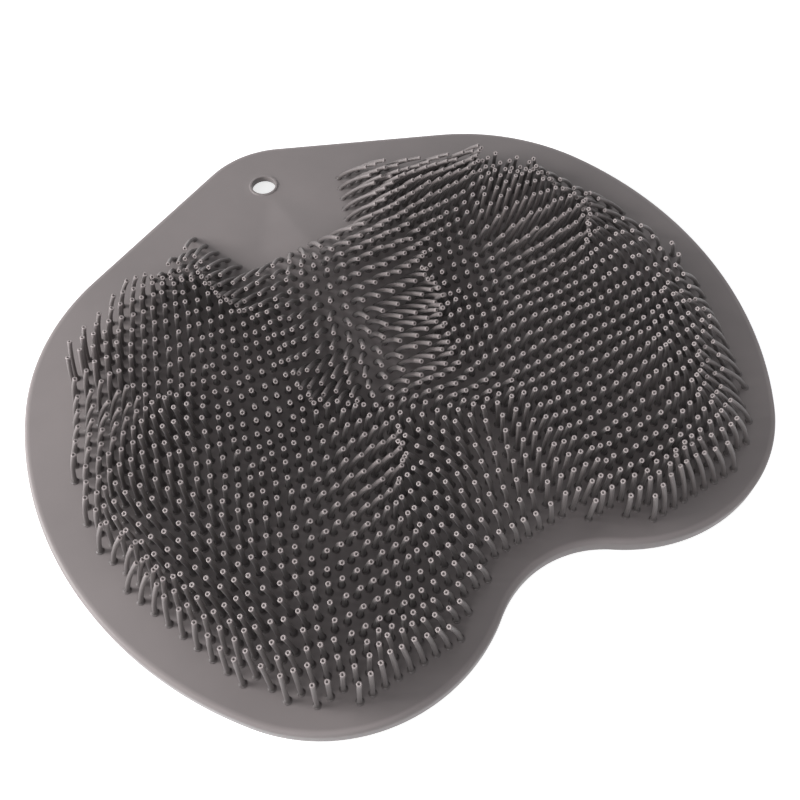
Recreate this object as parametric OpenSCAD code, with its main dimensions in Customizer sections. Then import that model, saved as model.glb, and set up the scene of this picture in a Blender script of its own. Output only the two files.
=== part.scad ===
// Back scrubber: one moulded silicone pad that lies on a shower floor or hangs by its tab.
// The top carries a field of flexible bristles that lean in sweeping waves, the underside
// carries suction cups, and a rolled lip runs all round the two-lobed outline.
// The origin is on the surface that the cups stand on, below the middle of the outline.
// +Y points to the tab with the hanging hole, +Z points along the bristles.

/* [Outline] */
// Radius of the tab's rounded tip
tip_r = 41.8; // [34:0.2:50]
// Angle that the tip turns through on each side of the middle
tip_turn = 24.5; // [20:0.5:30]
// Length of each straight shoulder beside the tab
shoulder_len = 80.4; // [60:0.2:100]
// Radius of the bend that leads from a shoulder to a side
bend_r = 94.3; // [80:0.1:110]
// Angle that this bend turns through
bend_turn = 42.7; // [38:0.1:46]
// Radius of each long side
side_r = 153.3; // [140:0.1:170]
// Angle that a side turns through
side_turn = 61.5; // [56:0.1:64]
// Radius of each lobe's round end
lobe_r = 67.3; // [60:0.1:74]
// Radius of the notch between the lobes
notch_r = 42.8; // [30:0.1:60]

/* [Sheet and lip] */
// Height of the sheet's top face over the surface that the cups stand on
sheet_top = 8; // [7:0.5:12]
// Thickness of the sheet
sheet_t = 2.6; // [2:0.1:4]
// Width of the lip that hangs down round the edge
lip_w = 2.6; // [2:0.1:4]
// Height of the lip's foot over the standing surface
lip_clear = 1; // [0.5:0.1:2]
// Radius of the rounded top edge
edge_r = 1.6; // [0.8:0.1:1.9]
// Turn of the outline between two points of its curves, in degrees
outline_step = 4.5; // [3:0.5:6]

/* [Hanging hole] */
// Diameter of the hanging hole
hole_d = 11; // [8:0.5:14]
// Distance from the tip of the tab to the middle of the hole
hole_from_tip = 24; // [20:0.5:30]
// Width of the raised ring round the hole
ring_w = 1.2; // [0.8:0.1:2]
// Height of that ring over the sheet
ring_h = 0.5; // [0.3:0.1:1]

/* [Fold] */
// Height of the low fold that runs from the tab along the middle
fold_h = 1.8; // [1:0.1:3]
// Half width of the fold at its highest place
fold_half_w = 22; // [16:1:26]
// Distance from the hole's middle to the fold's highest place
fold_peak = 40; // [30:1:50]
// Distance from the hole's middle to where the fold ends in the field
fold_len = 150; // [120:1:170]

/* [Bristles] */
// Diameter of a bristle
bristle_d = 1.8; // [1.4:0.1:2.2]
// Length of a bristle over the sheet
bristle_len = 20; // [14:0.5:24]
// Spacing of the bristles along a row
bristle_pitch = 7.2; // [7:0.1:10]
// Spacing of the rows
row_pitch = 9.1; // [8.8:0.1:12]
// Bare margin between the field and the edge at the notch end
margin_near = 8; // [6:0.5:12]
// Bare margin between the field and the edge at the tab end
margin_far = 21; // [16:0.5:26]
// Distance from the tip of the tab to the foot of its bare face
bare_len = 68; // [60:1:76]
// Reach of the bare face to the left of the middle at its foot
bare_left = 28; // [20:1:34]
// Reach of the bare face to the right of the middle at its foot
bare_right = 19; // [14:1:28]
// How far each side of the bare face spreads for each unit towards the tip
bare_spread = 0.37; // [0.2:0.01:0.6]
// Largest share of its own length that a bristle may lean sideways
lean_limit = 0.84; // [0.6:0.01:0.88]
// Distance over which the leans near one another blend
lean_blend = 18; // [14:0.5:30]

/* [Suction cups] */
// Diameter of a cup at its rim
cup_d = 15; // [12:0.5:18]
// Diameter of the neck that joins a cup to the sheet
cup_neck_d = 6; // [4:0.5:8]
// Width of the flat rim that a cup stands on
cup_rim_w = 0.9; // [0.6:0.1:1.2]
// Height of the straight edge at a cup's rim
cup_lip_h = 0.6; // [0.4:0.1:1]
// Height of a cup's neck below the sheet
cup_neck_h = 1; // [0.6:0.1:1.6]
// Thickness of silicone over a cup's hollow
cup_wall = 1.6; // [1.2:0.1:2.4]
// Spacing of the cups along a row
cup_pitch = 32; // [29:0.5:40]
// Clear space between the cups and the lip
cup_clear = 2.5; // [1.5:0.5:6]

/* [Hidden] */

silicone = [0.43, 0.40, 0.40];

// Depth by which a piece is sunk into what carries it
sink = 0.6;
// Reach of a cut past the face that it opens
eps = 0.01;

// Unit direction at a turn of t degrees, clockwise from the tab's direction
function dir(t) = [sin(t), cos(t)];

// Turns of the edge where one stretch of the outline passes into the next
turn_bend = tip_turn + bend_turn;
turn_side = turn_bend + side_turn;

// Centres of the outline's arcs on the right half, first with the tip at zero
tip_c0 = [0, -tip_r];
bend_c0 = tip_c0 + (tip_r - bend_r) * dir(tip_turn)
    + shoulder_len * [cos(tip_turn), -sin(tip_turn)];
side_c0 = bend_c0 + (bend_r - side_r) * dir(turn_bend);
lobe_c0 = side_c0 + (side_r - lobe_r) * dir(turn_side);
tip_y = (lobe_r - lobe_c0[1]) / 2;

tip_c = tip_c0 + [0, tip_y];
bend_c = bend_c0 + [0, tip_y];
side_c = side_c0 + [0, tip_y];
lobe_c = lobe_c0 + [0, tip_y];
notch_turn = asin(lobe_c[0] / (lobe_r + notch_r));
notch_c = [0, lobe_c[1] - (lobe_r + notch_r) * cos(notch_turn)];

hole_y = tip_y - hole_from_tip;
sheet_z = sheet_top - sheet_t;
half_width = side_c[0] + side_r;

// Lean of the bristles at marked places: [x, y, sideways lean of the tip in x, in y]
LEANS = [
    [0, 64, -7, -16],
    [12, 64, 11, -13],
    [-14, 44, -10, -10],
    [-46, 91, -7, -17],
    [-34, 78, -10, -10],
    [-28, 60, -10, -16],
    [-28, 38, -5, -9],
    [-8, 15, -8, -16],
    [-30, 0, -7, -8],
    [-40, -50, -5, -10],
    [30, 94, 16, -15],
    [22, 72, 17, -8],
    [50, 92, 11, -10],
    [70, 80, 5, -12],
    [92, 72, -3, -10],
    [110, 50, -5, -8],
    [40, 60, 8, -7],
    [60, 24, -1, 1],
    [20, 40, 5, -8],
    [102, 10, 1, 3],
    [-72, 66, -2, -7],
    [-60, 40, -1, -13],
    [-75, 8, -4, -6],
    [28, 10, 8, -4],
    [73, 16, 9, -11],
    [130, 10, -15, -3],
    [130, -12, -13, 9],
    [126, -37, -8, -1],
    [81, -36, 3, -6],
    [77, -72, 1, -4],
    [89, -82, 2, 9],
    [57, -71, 4, -2],
    [58, -101, -2, -4],
    [30, -115, -3, -1],
    [45, -122, 0, 7],
    [62, -126, -7, 9],
    [84, -121, 0, 2],
    [100, -110, -17, 11],
    [125, -67, -9, 5],
    [138, -30, -6, 3],
    [12, -82, -1, 2],
    [18, -104, -1, -1],
    [-8, -98, -7, 1],
    [-2, -64, -6, 3],
    [-38, -119, -4, -2],
    [-58, -126, -9, 6],
    [-76, -126, 10, 3],
    [-65, -99, 1, -12],
    [-86, -103, -6, 2],
    [-104, -106, 2, 1],
    [-118, -87, 3, 1],
    [-97, -10, -4, 0],
    [-112, 2, 4, 0],
    [-113, 29, 10, -3],
    [-90, 25, -3, -8],
    [-103, 40, 1, 1],
    [-120, 52, 8, 4]
];

// Lean at one place, blended from the marks by their nearness
function nearness(x, y) =
    [for (m = LEANS) exp(-(pow(x - m[0], 2) + pow(y - m[1], 2)) / (2 * pow(lean_blend, 2)))
        + 0.00001];
function sum(v, i = 0) = i < len(v) ? v[i] + sum(v, i + 1) : 0;
function blended(x, y, w) =
    [for (k = [2, 3]) sum([for (i = [0 : len(LEANS) - 1]) w[i] * LEANS[i][k]]) / sum(w)];
function lean(x, y) = blended(x, y, nearness(x, y));

// Half of the outline, moved inwards by a margin that may change round the edge
function margin(t, near, far) = near + (far - near) * (1 + cos(t)) / 2;
function stretch(c, r, from, to, first, near, far) =
    let (n = ceil(abs(to - from) / outline_step))
    [for (i = [first : n]) let (t = from + (to - from) * i / n)
        c + (r - margin(t, near, far)) * dir(t)];
function notch_stretch(near, far) =
    let (n = ceil(notch_turn / outline_step))
    [for (i = [1 : n]) let (t = 180 + notch_turn * (1 - i / n))
        notch_c - (notch_r + margin(t, near, far)) * dir(t)];
function half_line(near, far) = concat(
    stretch(tip_c, tip_r, 0, tip_turn, 0, near, far),
    stretch(bend_c, bend_r, tip_turn, turn_bend, 0, near, far),
    stretch(side_c, side_r, turn_bend, turn_side, 1, near, far),
    stretch(lobe_c, lobe_r, turn_side, 180 + notch_turn, 1, near, far),
    notch_stretch(near, far));

// The closed outline, moved inwards by one inset
function outline(inset) =
    let (h = half_line(inset, inset))
    concat(h, [for (i = [len(h) - 2 : -1 : 1]) [-h[i][0], h[i][1]]]);

// Is a point inside the half line? Counts the edges above it
function over(p, a, b) =
    (a[0] > p[0]) != (b[0] > p[0])
        && p[1] < a[1] + (b[1] - a[1]) * (p[0] - a[0]) / (b[0] - a[0]) ? 1 : 0;
function inside(p, h) =
    sum([for (i = [0 : len(h) - 2]) over([abs(p[0]), p[1]], h[i], h[i + 1])]) % 2 == 1;

// The bare face of the tab, where no bristle stands
function bare(p) =
    let (up = p[1] - (tip_y - bare_len))
    up > 0 && p[0] > -bare_left - bare_spread * up && p[0] < bare_right + bare_spread * up;

field_line = half_line(margin_near, margin_far);
cup_line = half_line(lip_w + cup_clear + cup_d / 2, lip_w + cup_clear + cup_d / 2);
row_count = ceil(tip_y / row_pitch);
column_count = ceil(half_width / bristle_pitch);
cup_row = cup_pitch * sin(60);
cup_rows = ceil(tip_y / cup_row);
cup_columns = ceil(half_width / cup_pitch);

BRISTLES = [for (j = [-row_count : row_count]) for (i = [-column_count : column_count])
    let (p = [(i + (j % 2 == 0 ? 0 : 0.5)) * bristle_pitch, j * row_pitch])
    if (inside(p, field_line) && !bare(p)) p];
CUPS = [for (j = [-cup_rows : cup_rows]) for (i = [-cup_columns : cup_columns])
    let (p = [(i + (j % 2 == 0 ? 0 : 0.5)) * cup_pitch, j * cup_row])
    if (inside(p, cup_line) && norm(p - [0, hole_y]) > (cup_d + hole_d) / 2 + ring_w) p];

// Points of a round corner in the edge's section
function corner(c, r, from, to, n) =
    [for (i = [0 : n]) let (a = from + (to - from) * i / n) c + r * [cos(a), sin(a)]];

// The sheet with its rounded top edge and the lip that hangs round it: rings of points, one
// for each point of the edge's section, which is given as [inset, height]
module sheet() {
    foot_r = lip_w / 2;
    section = concat(
        [[lip_w, sheet_z]],
        corner([foot_r, lip_clear + foot_r], foot_r, 0, -180, 4),
        corner([edge_r, sheet_top - edge_r], edge_r, 180, 90, 4));
    count = len(outline(0));
    last = len(section) - 1;
    polyhedron(
        points = [for (s = section) for (p = outline(s[0])) [p[0], p[1], s[1]]],
        faces = concat(
            [[for (i = [count - 1 : -1 : 0]) i]],
            [[for (i = [0 : count - 1]) last * count + i]],
            [for (k = [0 : last - 1]) for (i = [0 : count - 1]) let (j = (i + 1) % count)
                [k * count + i, k * count + j, (k + 1) * count + j, (k + 1) * count + i]]));
}

// The low fold along the middle: a roof that rises from the hole and fades in the field
module fold() {
    z = sheet_top;
    start = hole_y - hole_d / 2 - ring_w;
    peak = hole_y - fold_peak;
    polyhedron(
        points = [
            [0, start, z - sink], [fold_half_w, peak, z - sink],
            [0, hole_y - fold_len, z - sink], [-fold_half_w, peak, z - sink],
            [0, start, z], [fold_half_w, peak, z],
            [0, hole_y - fold_len, z], [-fold_half_w, peak, z],
            [0, peak, z + fold_h]
        ],
        faces = [
            [3, 2, 1, 0],
            [0, 1, 5, 4], [1, 2, 6, 5], [2, 3, 7, 6], [3, 0, 4, 7],
            [4, 5, 8], [5, 6, 8], [6, 7, 8], [7, 4, 8]
        ]);
}

// The field of bristles, each leaning as the blended marks say
module bristles() {
    for (p = BRISTLES) {
        l = lean(p[0], p[1]);
        share = min(norm(l) / bristle_len, lean_limit);
        translate([p[0], p[1], sheet_top]) rotate([asin(share), 0, atan2(l[0], -l[1])])
            translate([0, 0, -sink]) cylinder(h = bristle_len + sink, d = bristle_d);
    }
}

// One suction cup: a bell that hangs from the sheet by its neck, hollow below
module cup() {
    bell_h = sheet_z - cup_neck_h - cup_lip_h;
    difference() {
        union() {
            cylinder(h = cup_lip_h, d = cup_d);
            translate([0, 0, cup_lip_h]) cylinder(h = bell_h, d1 = cup_d, d2 = cup_neck_d);
            translate([0, 0, cup_lip_h]) cylinder(h = sheet_z + sink - cup_lip_h, d = cup_neck_d);
        }
        translate([0, 0, -eps])
            cylinder(h = sheet_z - cup_wall + eps, d1 = cup_d - 2 * cup_rim_w, d2 = 0.4 * cup_neck_d);
    }
}

// The ring round the hanging hole
module ring() {
    translate([0, hole_y, sheet_top - sink])
        cylinder(h = ring_h + sink, d = hole_d + 2 * ring_w);
}

// The smooth sheet with the ringed hanging hole through it
module plain_pad() {
    difference() {
        union() {
            sheet();
            ring();
        }
        translate([0, hole_y, -sink]) cylinder(h = sheet_top + ring_h + 2 * sink, d = hole_d);
    }
}

// The pad as it stands on its cups, before the bristles
module base() {
    plain_pad();
    fold();
    for (p = CUPS) translate([p[0], p[1], 0]) cup();
}

module scrubber_pad() {
    color(silicone) union() {
        base();
        bristles();
    }
}

scrubber_pad();
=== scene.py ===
"""The silicone back scrubber as it looks: a smooth pad with a rolled edge, a field of
curved bristles with hollow tips, a ringed hanging hole and suction cups below.

Lengths are written in millimetres and turned into metres when a mesh is made.
"""
import math

import bpy
import numpy as np
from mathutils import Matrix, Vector
from mathutils.geometry import delaunay_2d_cdt


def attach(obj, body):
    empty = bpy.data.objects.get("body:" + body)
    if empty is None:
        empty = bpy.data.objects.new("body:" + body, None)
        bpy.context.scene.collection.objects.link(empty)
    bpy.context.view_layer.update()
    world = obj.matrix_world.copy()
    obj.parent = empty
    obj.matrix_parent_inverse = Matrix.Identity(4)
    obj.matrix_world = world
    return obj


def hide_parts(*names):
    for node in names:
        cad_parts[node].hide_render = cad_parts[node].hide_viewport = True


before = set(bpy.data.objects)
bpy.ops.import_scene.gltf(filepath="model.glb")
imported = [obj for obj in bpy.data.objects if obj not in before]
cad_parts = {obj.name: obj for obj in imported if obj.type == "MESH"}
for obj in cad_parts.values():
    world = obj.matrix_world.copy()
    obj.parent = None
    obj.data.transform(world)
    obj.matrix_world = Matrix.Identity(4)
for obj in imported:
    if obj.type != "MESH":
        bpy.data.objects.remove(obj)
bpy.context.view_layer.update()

MM = 0.001
RNG = np.random.default_rng(7)

# Outline, as in the solid: radii, the angles that they turn through, and the straight shoulder
TIP_R, TIP_TURN = 41.8, 24.5
SHOULDER_LEN = 80.4
BEND_R, BEND_TURN = 94.3, 42.7
SIDE_R, SIDE_TURN = 153.3, 61.5
LOBE_R = 67.3
NOTCH_R = 42.8
# Steps on the tip, shoulder, bend, side, lobe and notch of one half
OUTLINE_STEPS = (10, 22, 26, 54, 60, 16)
# Points on the roundings of the lip, of the top edge and of the hole's ring
LIP_POINTS, EDGE_POINTS, RING_POINTS = 9, 8, 5

# Sheet, the lip that hangs down round it, and the rounding of its top edge
SHEET_TOP, SHEET_T = 8.0, 2.6
LIP_W, LIP_CLEAR = 2.6, 1.0
EDGE_R = 1.6
# Corner between lip and sheet, as steps in from the lip and down from the sheet
LIP_CORNER = [(2.0, 0.0), (0.9, 0.15), (0.25, 0.6), (0.0, 1.3)]
# Band where rings of points follow the edge, two of those rings, and the spacing of points inside
BAND_W = 8.0
TOP_RINGS = (2.6, 4.6)
SKIN_SPACING = 2.6

# Hanging hole with its raised ring
HOLE_R = 5.5
HOLE_FROM_TIP = 24.0
RING_W, RING_H = 1.2, 0.5
# Rounding of the ring, then the corner at its foot and the bore's lower end as steps out and up
RING_SOFT = 0.35
RING_FOOT = 0.5
RING_CORNER = [(RING_FOOT, 0.0), (0.12, 0.06), (0.0, 0.18)]
BORE_END = [(0.0, 1.2), (0.0, 0.25), (0.25, 0.0)]
BORE_SIDES = 72

# Low fold that runs from the hole along the middle
FOLD_H, FOLD_HALF_W = 1.8, 22.0
FOLD_PEAK, FOLD_LEN = 40.0, 150.0

# Bristles: their own size, the lattice that they stand on, its margins and the tab's bare face
BRISTLE_R, BRISTLE_LEN = 0.9, 20.0
PITCH, ROW_PITCH = 5.0, 6.35
MARGIN_NEAR, MARGIN_FAR = 8.0, 21.0
BARE_LEN, BARE_LEFT, BARE_RIGHT, BARE_SPREAD = 68.0, 28.0, 19.0, 0.37
# Largest share of its length that a bristle leans by, reach of a mark, and stray of single rods
LEAN_LIMIT, LEAN_BLEND, LEAN_STRAY = 0.84, 9.0, 0.35
# Middle of a rod's curve, as shares of how far its tip leans and of how high it stands
BEND_OUT, BEND_UP = 0.36, 0.59
# Rings of a bristle as (place along it, radius, tone): its foot, the rod and the hollow tip; the tones
# give painted shade on the foot, a rod painted darker towards its foot and paler towards its tip, and a
# painted highlight round the tip's rim with painted shade down in its hollow
FOOT_RINGS = [(-0.3, 1.62, 0.20), (0.12, 1.62, 0.20), (0.34, 1.45, 0.10), (0.40, 1.12, 0.02),
              (0.62, 1.0, 0.06), (1.2, 0.93, 0.14)]
ROD_RINGS = [(t * BRISTLE_LEN, BRISTLE_R * (1.02 - 0.06 * t), 0.18 + 0.44 * t)
             for t in (0.14, 0.26, 0.38, 0.50, 0.62, 0.74, 0.86, 0.95)]
TIP_RINGS = [(BRISTLE_LEN - back, r, tone)
             for back, r, tone in (
                 (0.45, 0.97, 0.72), (0.15, 0.96, 0.92), (0.0, 0.82, 0.95), (0.0, 0.50, 0.95),
                 (0.2, 0.38, 0.6), (0.5, 0.28, 0.2))]
# Rings of the foot that stay level and upright however the rod leans
LEVEL_RINGS = 4
BRISTLE_SIDES = 10
# The field is made in strips, each from one x to the next
STRIPS = (
    ("bristles_outer_left", -200, -70), ("bristles_left", -70, -24), ("bristles_middle", -24, 24),
    ("bristles_right", 24, 70), ("bristles_outer_right", 70, 200))

# Suction cups
CUP_R, CUP_NECK_R, CUP_RIM_W = 7.5, 3.0, 0.9
CUP_LIP_H, CUP_NECK_H, CUP_WALL = 0.6, 1.0, 1.6
CUP_PITCH, CUP_CLEAR = 32.0, 2.5
# Depth of the neck in the sheet, rounding of the rim, and radius of the flat in the hollow
CUP_SINK, CUP_SOFT, CUP_FLAT_R = 0.6, 0.12, 0.5
CUP_SIDES = 36

# Lean of the bristles at marked places: x, y, sideways lean of the tip in x and in y
LEANS = np.array([
    (32, 97, 8, -13), (-56, 89, -10, -14), (-62, 87, -1, -13), (68, 80, 12, -12), (-85, 79, 8, -5),
    (23, 77, 13, -9), (-104, 74, 6, -4), (21, 70, 14, -8), (-76, 68, 0, -5), (5, 67, -2, -18),
    (73, 67, 6, -11), (-29, 66, -13, -10), (-10, 66, -5, -16), (14, 66, 9, -12), (-22, 63, -12, -10),
    (-57, 61, -2, -9), (51, 61, 6, -9), (-88, 59, 4, -1), (20, 59, 3, -11), (66, 58, 3, -7),
    (31, 57, 0, -12), (93, 56, -7, -9), (54, 53, -2, -10), (-5, 52, -6, -10), (-84, 48, 0, -9),
    (64, 48, -8, -10), (73, 44, -6, -9), (-101, 43, 4, 4), (83, 43, 1, -3), (-89, 36, 0, -9),
    (6, 34, 2, -12), (82, 31, 3, 3), (-137, 30, 3, -2), (129, 29, -13, -5), (-7, 27, -9, -12),
    (-132, 25, 3, -4), (81, 25, 3, 0), (-46, 24, -3, -10), (-24, 24, -9, -9), (100, 21, -4, -4),
    (-125, 19, 8, -6), (-118, 17, 8, -6), (72, 16, 0, -10), (4, 14, 6, -16), (53, 14, -8, -10),
    (90, 14, 1, -8), (-138, 12, 3, 2), (75, 10, 4, -10), (61, 9, -8, -8), (-120, 8, 5, -1),
    (6, 8, 5, -13), (-10, 7, -12, -13), (-111, 6, 1, -3), (90, 6, 1, -6), (-141, 3, 5, -5),
    (68, 2, -2, -8), (139, -1, -15, 8), (-142, -3, 5, -1), (-61, -3, -3, -10), (-96, -4, -2, -2),
    (6, -5, 4, -12), (-12, -6, -10, -10), (136, -7, -15, 1), (78, -9, -5, -7), (27, -11, -5, -7),
    (139, -12, -11, -4), (-109, -15, 4, -2), (116, -15, -13, 3), (1, -17, 6, -15), (-82, -18, 0, -7),
    (-105, -19, 2, 0), (106, -20, -7, -6), (-112, -23, -4, -2), (115, -23, -10, -3), (138, -23, -8, -6),
    (22, -29, -4, -5), (-1, -30, -3, -5), (-53, -32, -3, -8), (51, -33, -3, -6), (-39, -38, -1, -5),
    (9, -39, 2, -15), (-137, -42, 8, -2), (-112, -44, -3, -3), (-56, -45, -1, -5), (14, -46, -3, -8),
    (137, -48, -13, 0), (-1, -49, -4, -2), (-44, -50, 10, -5), (94, -52, -6, -6), (-99, -53, 0, -2),
    (-51, -53, 0, -6), (3, -54, -4, 1), (-1, -59, -14, 1), (11, -61, -2, 6), (-130, -62, 7, 1),
    (76, -62, -5, -7), (102, -63, -9, 2), (80, -66, -3, 0), (-112, -67, -4, 1), (21, -69, 0, -4),
    (-73, -72, -1, -8), (-25, -72, -6, -2), (39, -73, -5, -5), (18, -74, 1, -2), (9, -76, -6, 2),
    (-122, -77, 5, 0), (-84, -77, -3, 1), (-45, -80, 0, -4), (12, -82, -4, 4), (93, -83, -7, 0),
    (17, -85, 0, -2), (-9, -88, -2, 2), (-17, -92, -7, 2), (-115, -93, 1, 2), (113, -93, -12, 6),
    (-12, -94, -5, 2), (-93, -98, -3, 3), (-84, -98, -1, -6), (66, -98, -6, -4), (-65, -100, 0, -5),
    (108, -101, -12, 7), (-39, -102, -4, -4), (-5, -102, -6, -3), (55, -104, -5, -4), (87, -104, -5, -2),
    (105, -106, -12, 8), (100, -107, -10, 7), (-97, -108, 2, 3), (-36, -116, -6, 1), (90, -116, -5, 5),
    (-83, -119, -1, -5), (44, -121, -3, 0), (83, -121, -8, 4), (76, -124, -7, 6), (-76, -125, 4, 4),
    (-68, -125, -3, 6), (-58, -125, -3, 2), (56, -125, -1, 9), (62, -125, -1, 9), (71, -125, -5, 8),
], float)


# Outline
def direction(turn):
    """Unit direction at a turn in degrees, clockwise from the tab's direction."""
    a = np.radians(turn)
    return np.stack([np.sin(a), np.cos(a)], -1)


TURN_BEND = TIP_TURN + BEND_TURN
TURN_SIDE = TURN_BEND + SIDE_TURN
TIP_C = np.array([0.0, -TIP_R])
SHOULDER = SHOULDER_LEN * np.array([
    math.cos(math.radians(TIP_TURN)), -math.sin(math.radians(TIP_TURN))])
BEND_C = TIP_C + (TIP_R - BEND_R) * direction(TIP_TURN) + SHOULDER
SIDE_C = BEND_C + (BEND_R - SIDE_R) * direction(TURN_BEND)
LOBE_C = SIDE_C + (SIDE_R - LOBE_R) * direction(TURN_SIDE)
TIP_Y = (LOBE_R - LOBE_C[1]) / 2
for centre in (TIP_C, BEND_C, SIDE_C, LOBE_C):
    centre[1] += TIP_Y
NOTCH_TURN = math.degrees(math.asin(LOBE_C[0] / (LOBE_R + NOTCH_R)))
NOTCH_C = np.array([
    0.0, LOBE_C[1] - (LOBE_R + NOTCH_R) * math.cos(math.radians(NOTCH_TURN))])
HOLE_Y = TIP_Y - HOLE_FROM_TIP
SHEET_Z = SHEET_TOP - SHEET_T


def half_outline(inset):
    """Points down the right half, from the tip to the notch; inset is a function of the turn."""
    tip, shoulder, bend, side, lobe, notch = OUTLINE_STEPS
    out = []

    def arc(middle, r, start, end, steps):
        t = np.linspace(start, end, steps + 1)[:-1]
        out.append(middle + (r - inset(t))[:, None] * direction(t))

    arc(TIP_C, TIP_R, 0, TIP_TURN, tip)
    t = np.full(shoulder, TIP_TURN)
    start = TIP_C + (TIP_R - inset(t))[:, None] * direction(t)
    out.append(start + np.linspace(0, 1, shoulder, endpoint=False)[:, None] * SHOULDER)
    arc(BEND_C, BEND_R, TIP_TURN, TURN_BEND, bend)
    arc(SIDE_C, SIDE_R, TURN_BEND, TURN_SIDE, side)
    arc(LOBE_C, LOBE_R, TURN_SIDE, 180 + NOTCH_TURN, lobe)
    t = np.linspace(180 + NOTCH_TURN, 180, notch + 1)
    out.append(NOTCH_C - (NOTCH_R + inset(t))[:, None] * direction(t))
    return np.vstack(out)


def even(inset):
    """The same inset at every turn of the outline."""
    return lambda turn: np.full(np.shape(turn), float(inset))


def loop(inset):
    """The closed outline, moved inwards by an even amount."""
    right = half_outline(even(inset))
    return np.vstack([right, right[-2:0:-1] * (-1, 1)])


def inside(points, half):
    """Which points lie inside the shape whose right half is given."""
    x, y = np.abs(points[:, 0])[:, None], points[:, 1][:, None]
    a, b = half[:-1], half[1:]
    spans = (a[:, 0] > x) != (b[:, 0] > x)
    run = np.where(a[:, 0] == b[:, 0], 1.0, b[:, 0] - a[:, 0])
    at = a[:, 1] + (b[:, 1] - a[:, 1]) * (x - a[:, 0]) / run
    return (spans & (y < at)).sum(1) % 2 == 1


def lattice(pitch, row):
    """Staggered points over the whole pad, with every second row set off by half a step."""
    rows, columns = math.ceil(TIP_Y / row), math.ceil((SIDE_C[0] + SIDE_R) / pitch)
    return np.array([
        ((i + (0.5 if j % 2 else 0.0)) * pitch, j * row)
        for j in range(-rows, rows + 1) for i in range(-columns, columns + 1)])


# Helpers for meshes
def make_object(name, verts, faces, material, smooth=True, painted_light=None):
    """An object from points in millimetres; the last argument gives each point a tone of painted shade
    or painted highlight for its material.
    """
    mesh = bpy.data.meshes.new(name)
    mesh.from_pydata((np.asarray(verts) * MM).tolist(), [], faces)
    mesh.update()
    if smooth:
        mesh.shade_smooth()
    if painted_light is not None:
        layer = mesh.attributes.new("painted_light", "FLOAT", "POINT")
        layer.data.foreach_set("value", np.asarray(painted_light, np.float32))
    obj = bpy.data.objects.new(name, mesh)
    bpy.context.scene.collection.objects.link(obj)
    mesh.materials.append(material)
    return obj


def bridge(start_a, start_b, n):
    """Quads between two closed rings of n vertices."""
    return [
        (start_a + i, start_a + (i + 1) % n, start_b + (i + 1) % n, start_b + i)
        for i in range(n)]


def rounding(across, up, r, start, end, points):
    """Points of a section on an arc about (across, up), between two angles in degrees."""
    angles = [math.radians(a) for a in np.linspace(start, end, points)]
    return [(across + r * math.cos(a), up + r * math.sin(a)) for a in angles]


def fold_height(x, y):
    """Height of the low roof that runs from the hole along the middle."""
    start, peak, end = HOLE_Y - HOLE_R - RING_W, HOLE_Y - FOLD_PEAK, HOLE_Y - FOLD_LEN
    along = np.where(y > peak, (start - y) / (start - peak), (y - end) / (peak - end))
    across = np.abs(x) / FOLD_HALF_W
    return FOLD_H * np.clip(along - across, 0, None)


# Materials. Scales of the mottling and the grain, and the stretches of the mottling that are used
MOTTLE_SCALE, GRAIN_SCALE = 14.0, 900.0
COLOUR_FROM, COLOUR_TO = 0.32, 0.68
GLOSS_FROM, GLOSS_TO = 0.3, 0.7
# How far the roughness falls and rises with the mottling, and how deep the grain is
ROUGH_LESS, ROUGH_MORE = 0.05, 0.07
GRAIN_STRENGTH, GRAIN_DEPTH = 0.12, 0.0001
SILICONE_IOR = 1.42
SHEEN, SHEEN_ROUGH = 0.12, 0.5
# Factors on the colour at tone 0, 0.5 and 1: deepest painted shade, the plain colour, brightest painted
# highlight
DEEP, PLAIN, PALE = (0.45, 0.44, 0.44, 1), (1, 1, 1, 1), (2.3, 2.3, 2.3, 1)


def node_material(name):
    mat = bpy.data.materials.new(name)
    mat.use_nodes = True
    tree = mat.node_tree
    return mat, tree, tree.nodes["Principled BSDF"]


def add(tree, kind, **values):
    """A new node. Each value sets a property of that name, or else the input of that name."""
    node = tree.nodes.new(kind)
    for key, value in values.items():
        if hasattr(node, key):
            setattr(node, key, value)
        else:
            node.inputs[key.replace("_", " ")].default_value = value
    return node


def toned(tree, colour):
    """The colour, darkened by painted shade and lifted by painted highlights, by the tone that each
    point of the mesh carries.
    """
    painted_light = add(tree, "ShaderNodeAttribute", attribute_name="painted_light")
    tone = add(tree, "ShaderNodeValToRGB")
    tone.color_ramp.elements[0].color = DEEP
    tone.color_ramp.elements[1].color = PALE
    middle = tone.color_ramp.elements.new(0.5)
    middle.color = PLAIN
    tree.links.new(painted_light.outputs["Fac"], tone.inputs["Fac"])
    mix = add(tree, "ShaderNodeMix", data_type="RGBA", blend_type="MULTIPLY")
    # this node keeps its factor in socket 0 and its two colours in sockets 6 and 7
    mix.inputs[0].default_value = 1.0
    tree.links.new(colour, mix.inputs[6])
    tree.links.new(tone.outputs["Color"], mix.inputs[7])
    return mix.outputs[2]


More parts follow.
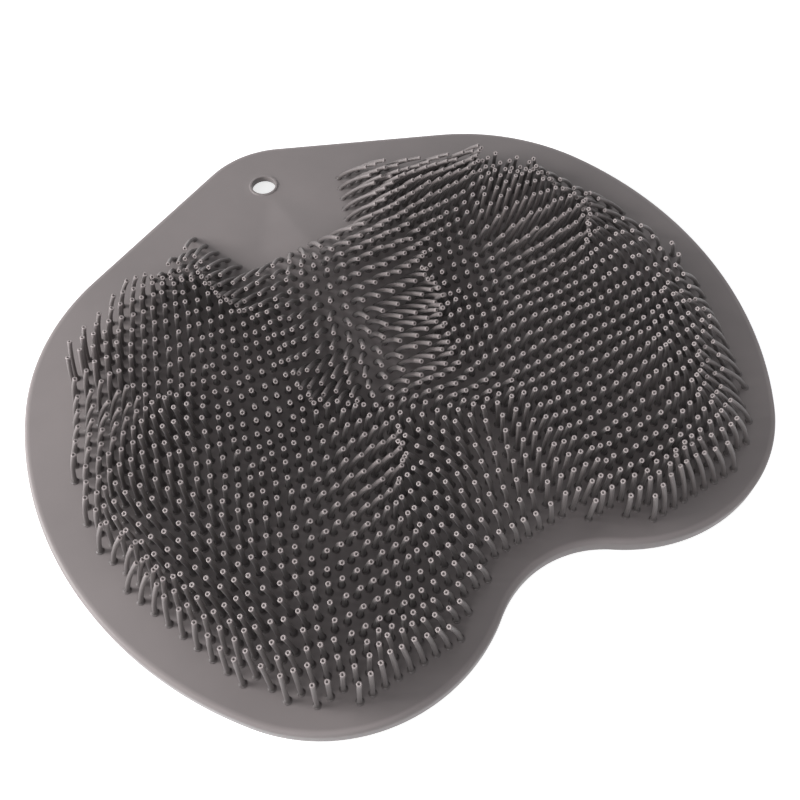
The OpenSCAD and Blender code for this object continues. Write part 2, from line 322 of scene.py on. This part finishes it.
def silicone(name, dark, light, rough, shaded=False):
    """Moulded silicone: soft mottled colour, satin gloss that varies, and a very fine grain."""
    mat, tree, bsdf = node_material(name)
    link = tree.links.new
    coords = add(tree, "ShaderNodeTexCoord")
    broad = add(tree, "ShaderNodeTexNoise", Scale=MOTTLE_SCALE, Detail=4.0, Roughness=0.55)
    fine = add(tree, "ShaderNodeTexNoise", Scale=GRAIN_SCALE, Detail=3.0, Roughness=0.6)
    link(coords.outputs["Object"], broad.inputs["Vector"])
    link(coords.outputs["Object"], fine.inputs["Vector"])
    ramp = add(tree, "ShaderNodeValToRGB")
    low_end, high_end = ramp.color_ramp.elements
    low_end.position, low_end.color = COLOUR_FROM, (*dark, 1)
    high_end.position, high_end.color = COLOUR_TO, (*light, 1)
    link(broad.outputs["Fac"], ramp.inputs["Fac"])
    colour = ramp.outputs["Color"]
    # with shaded set, the colour carries each point's painted shade and painted highlights
    link(toned(tree, colour) if shaded else colour, bsdf.inputs["Base Color"])
    gloss = add(
        tree, "ShaderNodeMapRange", From_Min=GLOSS_FROM, From_Max=GLOSS_TO,
        To_Min=rough - ROUGH_LESS, To_Max=rough + ROUGH_MORE)
    link(broad.outputs["Fac"], gloss.inputs["Value"])
    link(gloss.outputs["Result"], bsdf.inputs["Roughness"])
    bump = add(tree, "ShaderNodeBump", Strength=GRAIN_STRENGTH, Distance=GRAIN_DEPTH)
    link(fine.outputs["Fac"], bump.inputs["Height"])
    link(bump.outputs["Normal"], bsdf.inputs["Normal"])
    bsdf.inputs["IOR"].default_value = SILICONE_IOR
    bsdf.inputs["Sheen Weight"].default_value = SHEEN
    bsdf.inputs["Sheen Roughness"].default_value = SHEEN_ROUGH
    return mat


# dark and light end of the mottling, then roughness
PAD_MAT = silicone(
    "pad_silicone", (0.158, 0.139, 0.138), (0.196, 0.172, 0.170), 0.46, shaded=True)
BRISTLE_MAT = silicone(
    "bristle_silicone", (0.146, 0.127, 0.125), (0.173, 0.151, 0.149), 0.42, shaded=True)
CUP_MAT = silicone("cup_silicone", (0.146, 0.127, 0.126), (0.172, 0.151, 0.149), 0.38)


# Pad. Tones of painted light: a painted highlight round its rounded top edge, painted light on its lip,
# and the plain tone elsewhere
EDGE_HIGHLIGHT_TONE, LIP_PAINTED_LIGHT_TONE, SKIN_TONE = 0.62, 0.56, 0.5


def edge_profile():
    """Section of the edge as (inset, height), from under the sheet round to its top."""
    foot, r = LIP_W / 2, EDGE_R
    out = [(BAND_W, SHEET_Z)]
    out += [(LIP_W + across, SHEET_Z - down) for across, down in LIP_CORNER]
    out += rounding(foot, LIP_CLEAR + foot, foot, 0, -180, LIP_POINTS)
    out.append((0.0, (LIP_CLEAR + foot + SHEET_TOP - r) / 2))
    out += rounding(r, SHEET_TOP - r, r, 180, 90, EDGE_POINTS)
    out += [(inset, SHEET_TOP) for inset in (*TOP_RINGS, BAND_W)]
    return out


def hole_profile():
    """Section of the hanging hole's ring as (radius, height), from above to below."""
    out_r, top, soft = HOLE_R + RING_W, SHEET_TOP + RING_H, RING_SOFT
    out = [(out_r + across, SHEET_TOP + up) for across, up in RING_CORNER]
    out += rounding(out_r - soft, top - soft, soft, 0, 90, RING_POINTS)[1:]
    out += rounding(HOLE_R + soft, top - soft, soft, 90, 180, RING_POINTS)
    out += [(HOLE_R + across, SHEET_Z + up) for across, up in BORE_END]
    return out


def from_hole(points):
    """Distance of points from the middle of the hanging hole."""
    return np.hypot(points[:, 0], points[:, 1] - HOLE_Y)


def turned_by(corners):
    """Twice the area of triangles, less than zero where they run clockwise."""
    run, rise = corners[:, 1] - corners[:, 0], corners[:, 2] - corners[:, 0]
    return run[:, 0] * rise[:, 1] - run[:, 1] * rise[:, 0]


def skin(inner, ring):
    """Triangles between the band's inner loop and the hole's ring, all anticlockwise."""
    grid = lattice(SKIN_SPACING, SKIN_SPACING * math.sin(math.radians(60)))
    clear = 0.6 * SKIN_SPACING
    keep = inside(grid, half_outline(even(BAND_W + clear)))
    grid = grid[keep & (from_hole(grid) > HOLE_R + RING_W + RING_FOOT + clear)]
    points = [Vector(p) for p in np.vstack([inner, ring, grid])]
    n, m = len(inner), len(ring)
    edges = [(i, (i + 1) % n) for i in range(n)] + [(n + i, n + (i + 1) % m) for i in range(m)]
    merge_distance = 1e-5
    verts, _, faces, *_ = delaunay_2d_cdt(points, edges, [], 0, merge_distance)
    xy = np.array([tuple(v) for v in verts])
    tri = np.array([tuple(f) for f in faces])
    middle = xy[tri].mean(1)
    area = turned_by(xy[tri])
    # the triangulation also fills the hole and the notch, and lays slivers along the shoulders;
    # the rim is cut at a radius that tells the flattest triangles on its two sides apart
    slack, rim, smallest = 0.02, 0.998 * from_hole(ring)[0], 1e-3
    keep = inside(middle, half_outline(even(BAND_W - slack)))
    keep &= (np.abs(area) > smallest) & (from_hole(middle) > rim)
    tri[area < 0] = tri[area < 0, ::-1]
    return xy, tri[keep]


def build_pad():
    """The sheet with its rounded edge, its lip and the bore of the hanging hole."""
    turn = np.linspace(0, 2 * np.pi, BORE_SIDES, endpoint=False)

    def circle(r):
        return np.column_stack([r * np.cos(turn), HOLE_Y + r * np.sin(turn)])

    n, m = len(loop(0)), BORE_SIDES
    edge = [np.column_stack([loop(inset), np.full(n, z)]) for inset, z in edge_profile()]
    bore = [np.column_stack([circle(r), np.full(m, z)]) for r, z in hole_profile()]
    edge_at = [k * n for k in range(len(edge))]
    bore_at = [len(edge) * n + k * m for k in range(len(bore))]
    verts = edge + bore
    faces = []
    for a, b in zip(edge_at, edge_at[1:]):
        faces += bridge(b, a, n)
    for a, b in zip(bore_at, bore_at[1:]):
        faces += bridge(a, b, m)
    # the top and the underside of the sheet join the ends of the two sections
    for top, r, z, outer, ring in (
            (True, hole_profile()[0][0], SHEET_TOP, edge_at[-1], bore_at[0]),
            (False, hole_profile()[-1][0], SHEET_Z, edge_at[0], bore_at[-1])):
        xy, tri = skin(loop(BAND_W), circle(r))
        index = np.arange(len(xy)) + sum(len(part) for part in verts)
        index[:n] = np.arange(n) + outer
        index[n:n + m] = np.arange(m) + ring
        verts.append(np.column_stack([xy, z + top * fold_height(xy[:, 0], xy[:, 1])]))
        faces += [tuple(f) for f in index[tri if top else tri[:, ::-1]].tolist()]
    return np.vstack(verts), faces


def drop_unused(verts, faces):
    """The mesh without the points that no face has."""
    used = np.zeros(len(verts), bool)
    for f in faces:
        used[list(f)] = True
    new = np.cumsum(used) - 1
    return verts[used], [tuple(int(new[i]) for i in f) for f in faces]


def pad_painted_light(verts):
    """Tone of the skin: a painted highlight round the rounded top edge, painted light on the thin lip
    below it, plain elsewhere.
    """
    tone = np.full(len(verts), SKIN_TONE)
    per_ring = len(loop(0))
    for k, (inset, z) in enumerate(edge_profile()):
        ring = slice(k * per_ring, (k + 1) * per_ring)
        if z > SHEET_TOP - EDGE_R and inset <= EDGE_R:
            tone[ring] = EDGE_HIGHLIGHT_TONE
        elif z <= SHEET_TOP - EDGE_R and inset < LIP_W:
            tone[ring] = LIP_PAINTED_LIGHT_TONE
    return tone


pad_verts, pad_faces = drop_unused(*build_pad())
pad = make_object("pad", pad_verts, pad_faces, PAD_MAT, painted_light=pad_painted_light(pad_verts))


# Suction cups
def cup_profile():
    """Section of a cup as (radius, height): neck, bell, rim, and up into the hollow."""
    bell_top = SHEET_Z - CUP_NECK_H
    hollow = SHEET_Z - CUP_WALL
    rim_in = CUP_R - CUP_RIM_W
    neck = [(CUP_NECK_R, SHEET_Z + CUP_SINK), (CUP_NECK_R, SHEET_Z - 0.2),
            (CUP_NECK_R + 0.15, bell_top + 0.3)]
    bell = [(CUP_NECK_R + 0.7, bell_top - 0.35), (CUP_R - 1.2, CUP_LIP_H + 0.75),
            (CUP_R - 0.25, CUP_LIP_H + 0.12), (CUP_R, CUP_LIP_H - 0.15)]
    rim = [(CUP_R, CUP_SOFT), (CUP_R - CUP_SOFT, 0.0),
           (rim_in + 0.1, 0.0), (rim_in - 0.15, CUP_SOFT)]
    dome = [(CUP_R * 0.6, hollow * 0.52), (CUP_R * 0.3, hollow * 0.9), (CUP_FLAT_R, hollow)]
    return neck + bell + rim + dome


def build_cups():
    """Cups on a staggered grid, clear of the lip and of the hanging hole."""
    spots = lattice(CUP_PITCH, CUP_PITCH * math.sin(math.radians(60)))
    spots = spots[inside(spots, half_outline(even(LIP_W + CUP_CLEAR + CUP_R)))]
    spots = spots[from_hole(spots) > CUP_R + HOLE_R + RING_W]
    profile, sides = cup_profile(), CUP_SIDES
    a = np.linspace(0, 2 * np.pi, sides, endpoint=False)
    one = np.vstack([
        np.column_stack([r * np.cos(a), r * np.sin(a), np.full(sides, z)]) for r, z in profile])
    quads = []
    for k in range(len(profile) - 1):
        quads += [tuple(reversed(f)) for f in bridge(k * sides, (k + 1) * sides, sides)]
    quads.append(tuple((len(profile) - 1) * sides + i for i in range(sides))[::-1])
    quads.append(tuple(range(sides)))
    verts, faces = [], []
    for x, y in spots:
        base = len(verts) * len(one)
        verts.append(one + (x, y, 0))
        faces += [tuple(i + base for i in f) for f in quads]
    return np.vstack(verts), faces


cups = make_object("suction_cups", *build_cups(), CUP_MAT)


# Bristles
def bristle_roots():
    """Places of the bristles: a margin that is wider at the tab's end, and the tab's bare face."""
    spots = lattice(PITCH, ROW_PITCH)
    line = half_outline(
        lambda t: MARGIN_NEAR + (MARGIN_FAR - MARGIN_NEAR) * (1 + np.cos(np.radians(t))) / 2)
    spots = spots[inside(spots, line)]
    up = spots[:, 1] - (TIP_Y - BARE_LEN)
    left, right = -BARE_LEFT - BARE_SPREAD * up, BARE_RIGHT + BARE_SPREAD * up
    bare = (up > 0) & (spots[:, 0] > left) & (spots[:, 0] < right)
    return spots[~bare]


def lean_at(spots):
    """Sideways lean of the tips, blended from the marks near each place."""
    far_weight = 1e-5
    d2 = ((spots[:, None, :] - LEANS[None, :, :2]) ** 2).sum(-1)
    w = np.exp(-d2 / (2 * LEAN_BLEND ** 2)) + far_weight
    return (w @ LEANS[:, 2:]) / w.sum(1, keepdims=True)


def bend(t, middle, end):
    """Place at t on the curve from zero to end, with one control point in the middle."""
    return 2 * t * (1 - t) * middle + t * t * end


def bend_rate(t, middle, end):
    """Rate of change of that place."""
    return 2 * (1 - 2 * t) * middle + 2 * t * end


def curve_of(share):
    """Height of the tip of a bristle that leans by share of its length, at equal length."""
    samples, halvings = 40, 30
    t = np.linspace(0, 1, samples)
    low, high = 0.05, 1.0
    for _ in range(halvings):
        h = (low + high) / 2
        s = bend(t, BEND_OUT * share, share)
        z = bend(t, BEND_UP * h, h)
        length = np.hypot(np.diff(s), np.diff(z)).sum()
        low, high = (h, high) if length < 1 else (low, h)
    return h


def build_bristles(roots, lean):
    """Curved rods. Each stands on a small foot, bends over, and ends in a hollow tip; every point
    carries its ring's tone of painted shade or painted highlight.
    """
    size = np.linalg.norm(lean, axis=1)
    share = np.minimum(size / BRISTLE_LEN, LEAN_LIMIT)
    heading = lean / np.maximum(size, 1e-6)[:, None]
    table = np.linspace(0, LEAN_LIMIT, 60)
    height = np.interp(share, table, [curve_of(s) for s in table]) * BRISTLE_LEN
    reach = share * BRISTLE_LEN
    base_z = SHEET_TOP + fold_height(roots[:, 0], roots[:, 1])
    rings = FOOT_RINGS + ROD_RINGS + TIP_RINGS
    n, sides = len(roots), BRISTLE_SIDES
    a = np.linspace(0, 2 * np.pi, sides, endpoint=False)
    side_dir = np.column_stack([-heading[:, 1], heading[:, 0], np.zeros(n)])
    verts = np.zeros((n, len(rings), sides, 3))
    tone = np.zeros((n, len(rings), sides))
    for k, (s, r, value) in enumerate(rings):
        if k < LEVEL_RINGS:
            along, up = np.zeros(n), np.full(n, float(s))
            d_along, d_up = np.zeros(n), np.ones(n)
        else:
            t = s / BRISTLE_LEN
            along, up = bend(t, BEND_OUT * reach, reach), bend(t, BEND_UP * height, height)
            d_along = bend_rate(t, BEND_OUT * reach, reach)
            d_up = bend_rate(t, BEND_UP * height, height)
        length = np.hypot(d_along, d_up)
        tangent = np.column_stack([heading * (d_along / length)[:, None], d_up / length])
        normal = np.cross(tangent, side_dir)
        middle = np.column_stack([roots + heading * along[:, None], base_z + up])
        verts[:, k] = middle[:, None] + r * (
            np.cos(a)[None, :, None] * side_dir[:, None] + np.sin(a)[None, :, None] * normal[:, None])
        # painted shade at the foot and in the hollow, painted highlight round the tip's rim
        tone[:, k] = value
    quads = []
    for k in range(len(rings) - 1):
        quads += bridge(k * sides, (k + 1) * sides, sides)
    quads.append(tuple((len(rings) - 1) * sides + i for i in range(sides)))
    quads.append(tuple(range(sides))[::-1])
    size = len(rings) * sides
    faces = [tuple(i + b * size for i in f) for b in range(n) for f in quads]
    return verts.reshape(-1, 3), faces, tone.reshape(-1)


roots = bristle_roots()
leans = lean_at(roots) + RNG.normal(0, LEAN_STRAY, roots.shape)
bristle_pieces = []
for piece_name, start, end in STRIPS:
    chosen = (roots[:, 0] >= start) & (roots[:, 0] < end)
    points, polys, tones = build_bristles(roots[chosen], leans[chosen])
    bristle_pieces.append(make_object(piece_name, points, polys, BRISTLE_MAT, painted_light=tones))

for piece in [pad, cups, *bristle_pieces]:
    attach(piece, "root")
    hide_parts("scrubber_pad")


# Floor and surroundings. The glow lifts the floor's pale colour to white where it is seen
FLOOR_HALF = 6000.0
FLOOR_DARK, FLOOR_LIGHT = (0.80, 0.80, 0.80, 1), (0.84, 0.84, 0.84, 1)
FLOOR_GLOW = 0.72
WHITE = (1, 1, 1, 1)
SKY_COLOUR, SKY_STRENGTH = (0.95, 0.97, 1.0, 1), 0.36


def seen_directly(tree):
    """One where the camera, a reflection or a transparent body sees the surface, else zero."""
    path = tree.nodes.new("ShaderNodeLightPath")
    total = path.outputs["Is Camera Ray"]
    for name in ("Is Glossy Ray", "Is Transmission Ray"):
        either = tree.nodes.new("ShaderNodeMath")
        either.operation = "MAXIMUM"
        tree.links.new(total, either.inputs[0])
        tree.links.new(path.outputs[name], either.inputs[1])
        total = either.outputs["Value"]
    return total


def floor_material():
    mat, tree, bsdf = node_material("floor_white")
    link = tree.links.new
    noise = add(tree, "ShaderNodeTexNoise", Scale=3.0, Detail=2.0)
    ramp = add(tree, "ShaderNodeValToRGB")
    ramp.color_ramp.elements[0].color = FLOOR_DARK
    ramp.color_ramp.elements[1].color = FLOOR_LIGHT
    link(noise.outputs["Fac"], ramp.inputs["Fac"])
    link(ramp.outputs["Color"], bsdf.inputs["Base Color"])
    bsdf.inputs["Roughness"].default_value = 0.9
    glow = add(tree, "ShaderNodeMath", operation="MULTIPLY")
    glow.inputs[1].default_value = FLOOR_GLOW
    link(seen_directly(tree), glow.inputs[0])
    bsdf.inputs["Emission Color"].default_value = WHITE
    link(glow.outputs["Value"], bsdf.inputs["Emission Strength"])
    return mat


floor = make_object(
    "floor",
    [(-FLOOR_HALF, -FLOOR_HALF, 0), (FLOOR_HALF, -FLOOR_HALF, 0),
     (FLOOR_HALF, FLOOR_HALF, 0), (-FLOOR_HALF, FLOOR_HALF, 0)],
    [(0, 1, 2, 3)], floor_material(), smooth=False)

world = bpy.data.worlds.new("studio")
bpy.context.scene.world = world
world.use_nodes = True
sky = world.node_tree
background = sky.nodes["Background"]
white = sky.nodes.new("ShaderNodeBackground")
white.inputs["Color"].default_value = WHITE
blend = sky.nodes.new("ShaderNodeMixShader")
background.inputs["Color"].default_value = SKY_COLOUR
background.inputs["Strength"].default_value = SKY_STRENGTH
sky.links.new(seen_directly(sky), blend.inputs["Fac"])
sky.links.new(background.outputs["Background"], blend.inputs[1])
sky.links.new(white.outputs["Background"], blend.inputs[2])
sky.links.new(blend.outputs["Shader"], sky.nodes["World Output"].inputs["Surface"])


# Lamps. The photograph's horizontal directions, seen on the pad
TOWARDS_CAMERA = Vector((-0.527, -0.850, 0))
TO_IMAGE_RIGHT = Vector((0.850, -0.527, 0))


def studio(right, towards, up):
    """A place over the pad in metres: to the picture's right, towards the camera and up."""
    return TO_IMAGE_RIGHT * right + TOWARDS_CAMERA * towards + Vector((0, 0, up))


def area_light(name, place, size, power):
    """A round lamp that faces the pad, with its diameter in metres and its power in watts."""
    data = bpy.data.lights.new(name, "AREA")
    data.shape, data.size, data.energy = "DISK", size, power
    lamp = bpy.data.objects.new(name, data)
    bpy.context.scene.collection.objects.link(lamp)
    lamp.location = place
    lamp.rotation_mode = "QUATERNION"
    lamp.rotation_quaternion = (-place).to_track_quat("-Z", "Y")


area_light("key", studio(right=-0.68, towards=0.08, up=0.36), size=0.4, power=7.0)
area_light("fill", studio(right=-0.2, towards=0.9, up=0.7), size=0.8, power=3.8)
area_light("top", studio(right=0.1, towards=-0.6, up=1.2), size=0.6, power=0.5)

# Camera, as worked out from the photograph; the aim and the distance are in millimetres
FOCAL_PIXELS, FRAME_PIXELS = 909.0, 800.0
AIM = Vector((-8.94, -27.07, SHEET_TOP))
DISTANCE = 363.2
ELEVATION = math.radians(56.9)
camera_data = bpy.data.cameras.new("camera")
camera = bpy.data.objects.new("camera", camera_data)
bpy.context.scene.collection.objects.link(camera)
bpy.context.scene.camera = camera
camera_data.sensor_width = 36.0
camera_data.lens = FOCAL_PIXELS / FRAME_PIXELS * camera_data.sensor_width
camera_data.clip_start = 0.01
back = TOWARDS_CAMERA.normalized() * math.cos(ELEVATION) + Vector((0, 0, math.sin(ELEVATION)))
camera.location = AIM * MM + back * DISTANCE * MM
camera.rotation_mode = "QUATERNION"
camera.rotation_quaternion = (-back).to_track_quat("-Z", "Y")

bpy.context.scene.view_settings.view_transform = "Standard"
